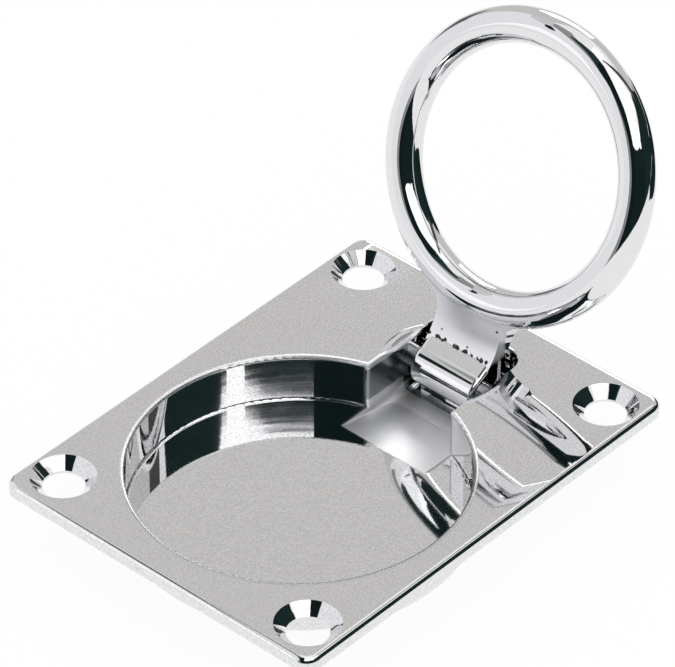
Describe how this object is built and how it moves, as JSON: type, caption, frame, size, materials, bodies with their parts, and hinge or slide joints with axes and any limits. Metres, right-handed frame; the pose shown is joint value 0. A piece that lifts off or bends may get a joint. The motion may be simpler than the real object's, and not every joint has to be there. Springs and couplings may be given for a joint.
{
  "type": "flush lift ring",
  "caption": "Flush lift ring: chromed plate with a round finger bowl, countersunk screw holes and a hinged ring that folds down into the bowl.",
  "frame": {"origin": "centre of the four screw holes, on the plate's underside, which lies on the surface that the part is let into", "axes": "+Z out of the surface, +X from the bowl towards the hinge, +Y along the hinge pin"},
  "size_m": [0.0882, 0.0584, 0.0577],
  "materials": {
    "plate_chrome": "mirror-polished chrome plate on cast brass",
    "ring_chrome": "mirror-polished chrome plate on cast brass",
    "pin_steel": "drawn steel"
  },
  "bodies": {
    "base": {"base_plate": "plate_chrome", "hinge_pin": "pin_steel"},
    "ring": {"lift_ring": "ring_chrome"}
  },
  "joints": [
    {"name": "ring_hinge", "type": "hinge", "parent": "base", "child": "ring", "pos_m": [0.02533, 0, -0.0018], "axis": [0, -1, 0], "range_deg": [0, 115.2]}
  ]
}
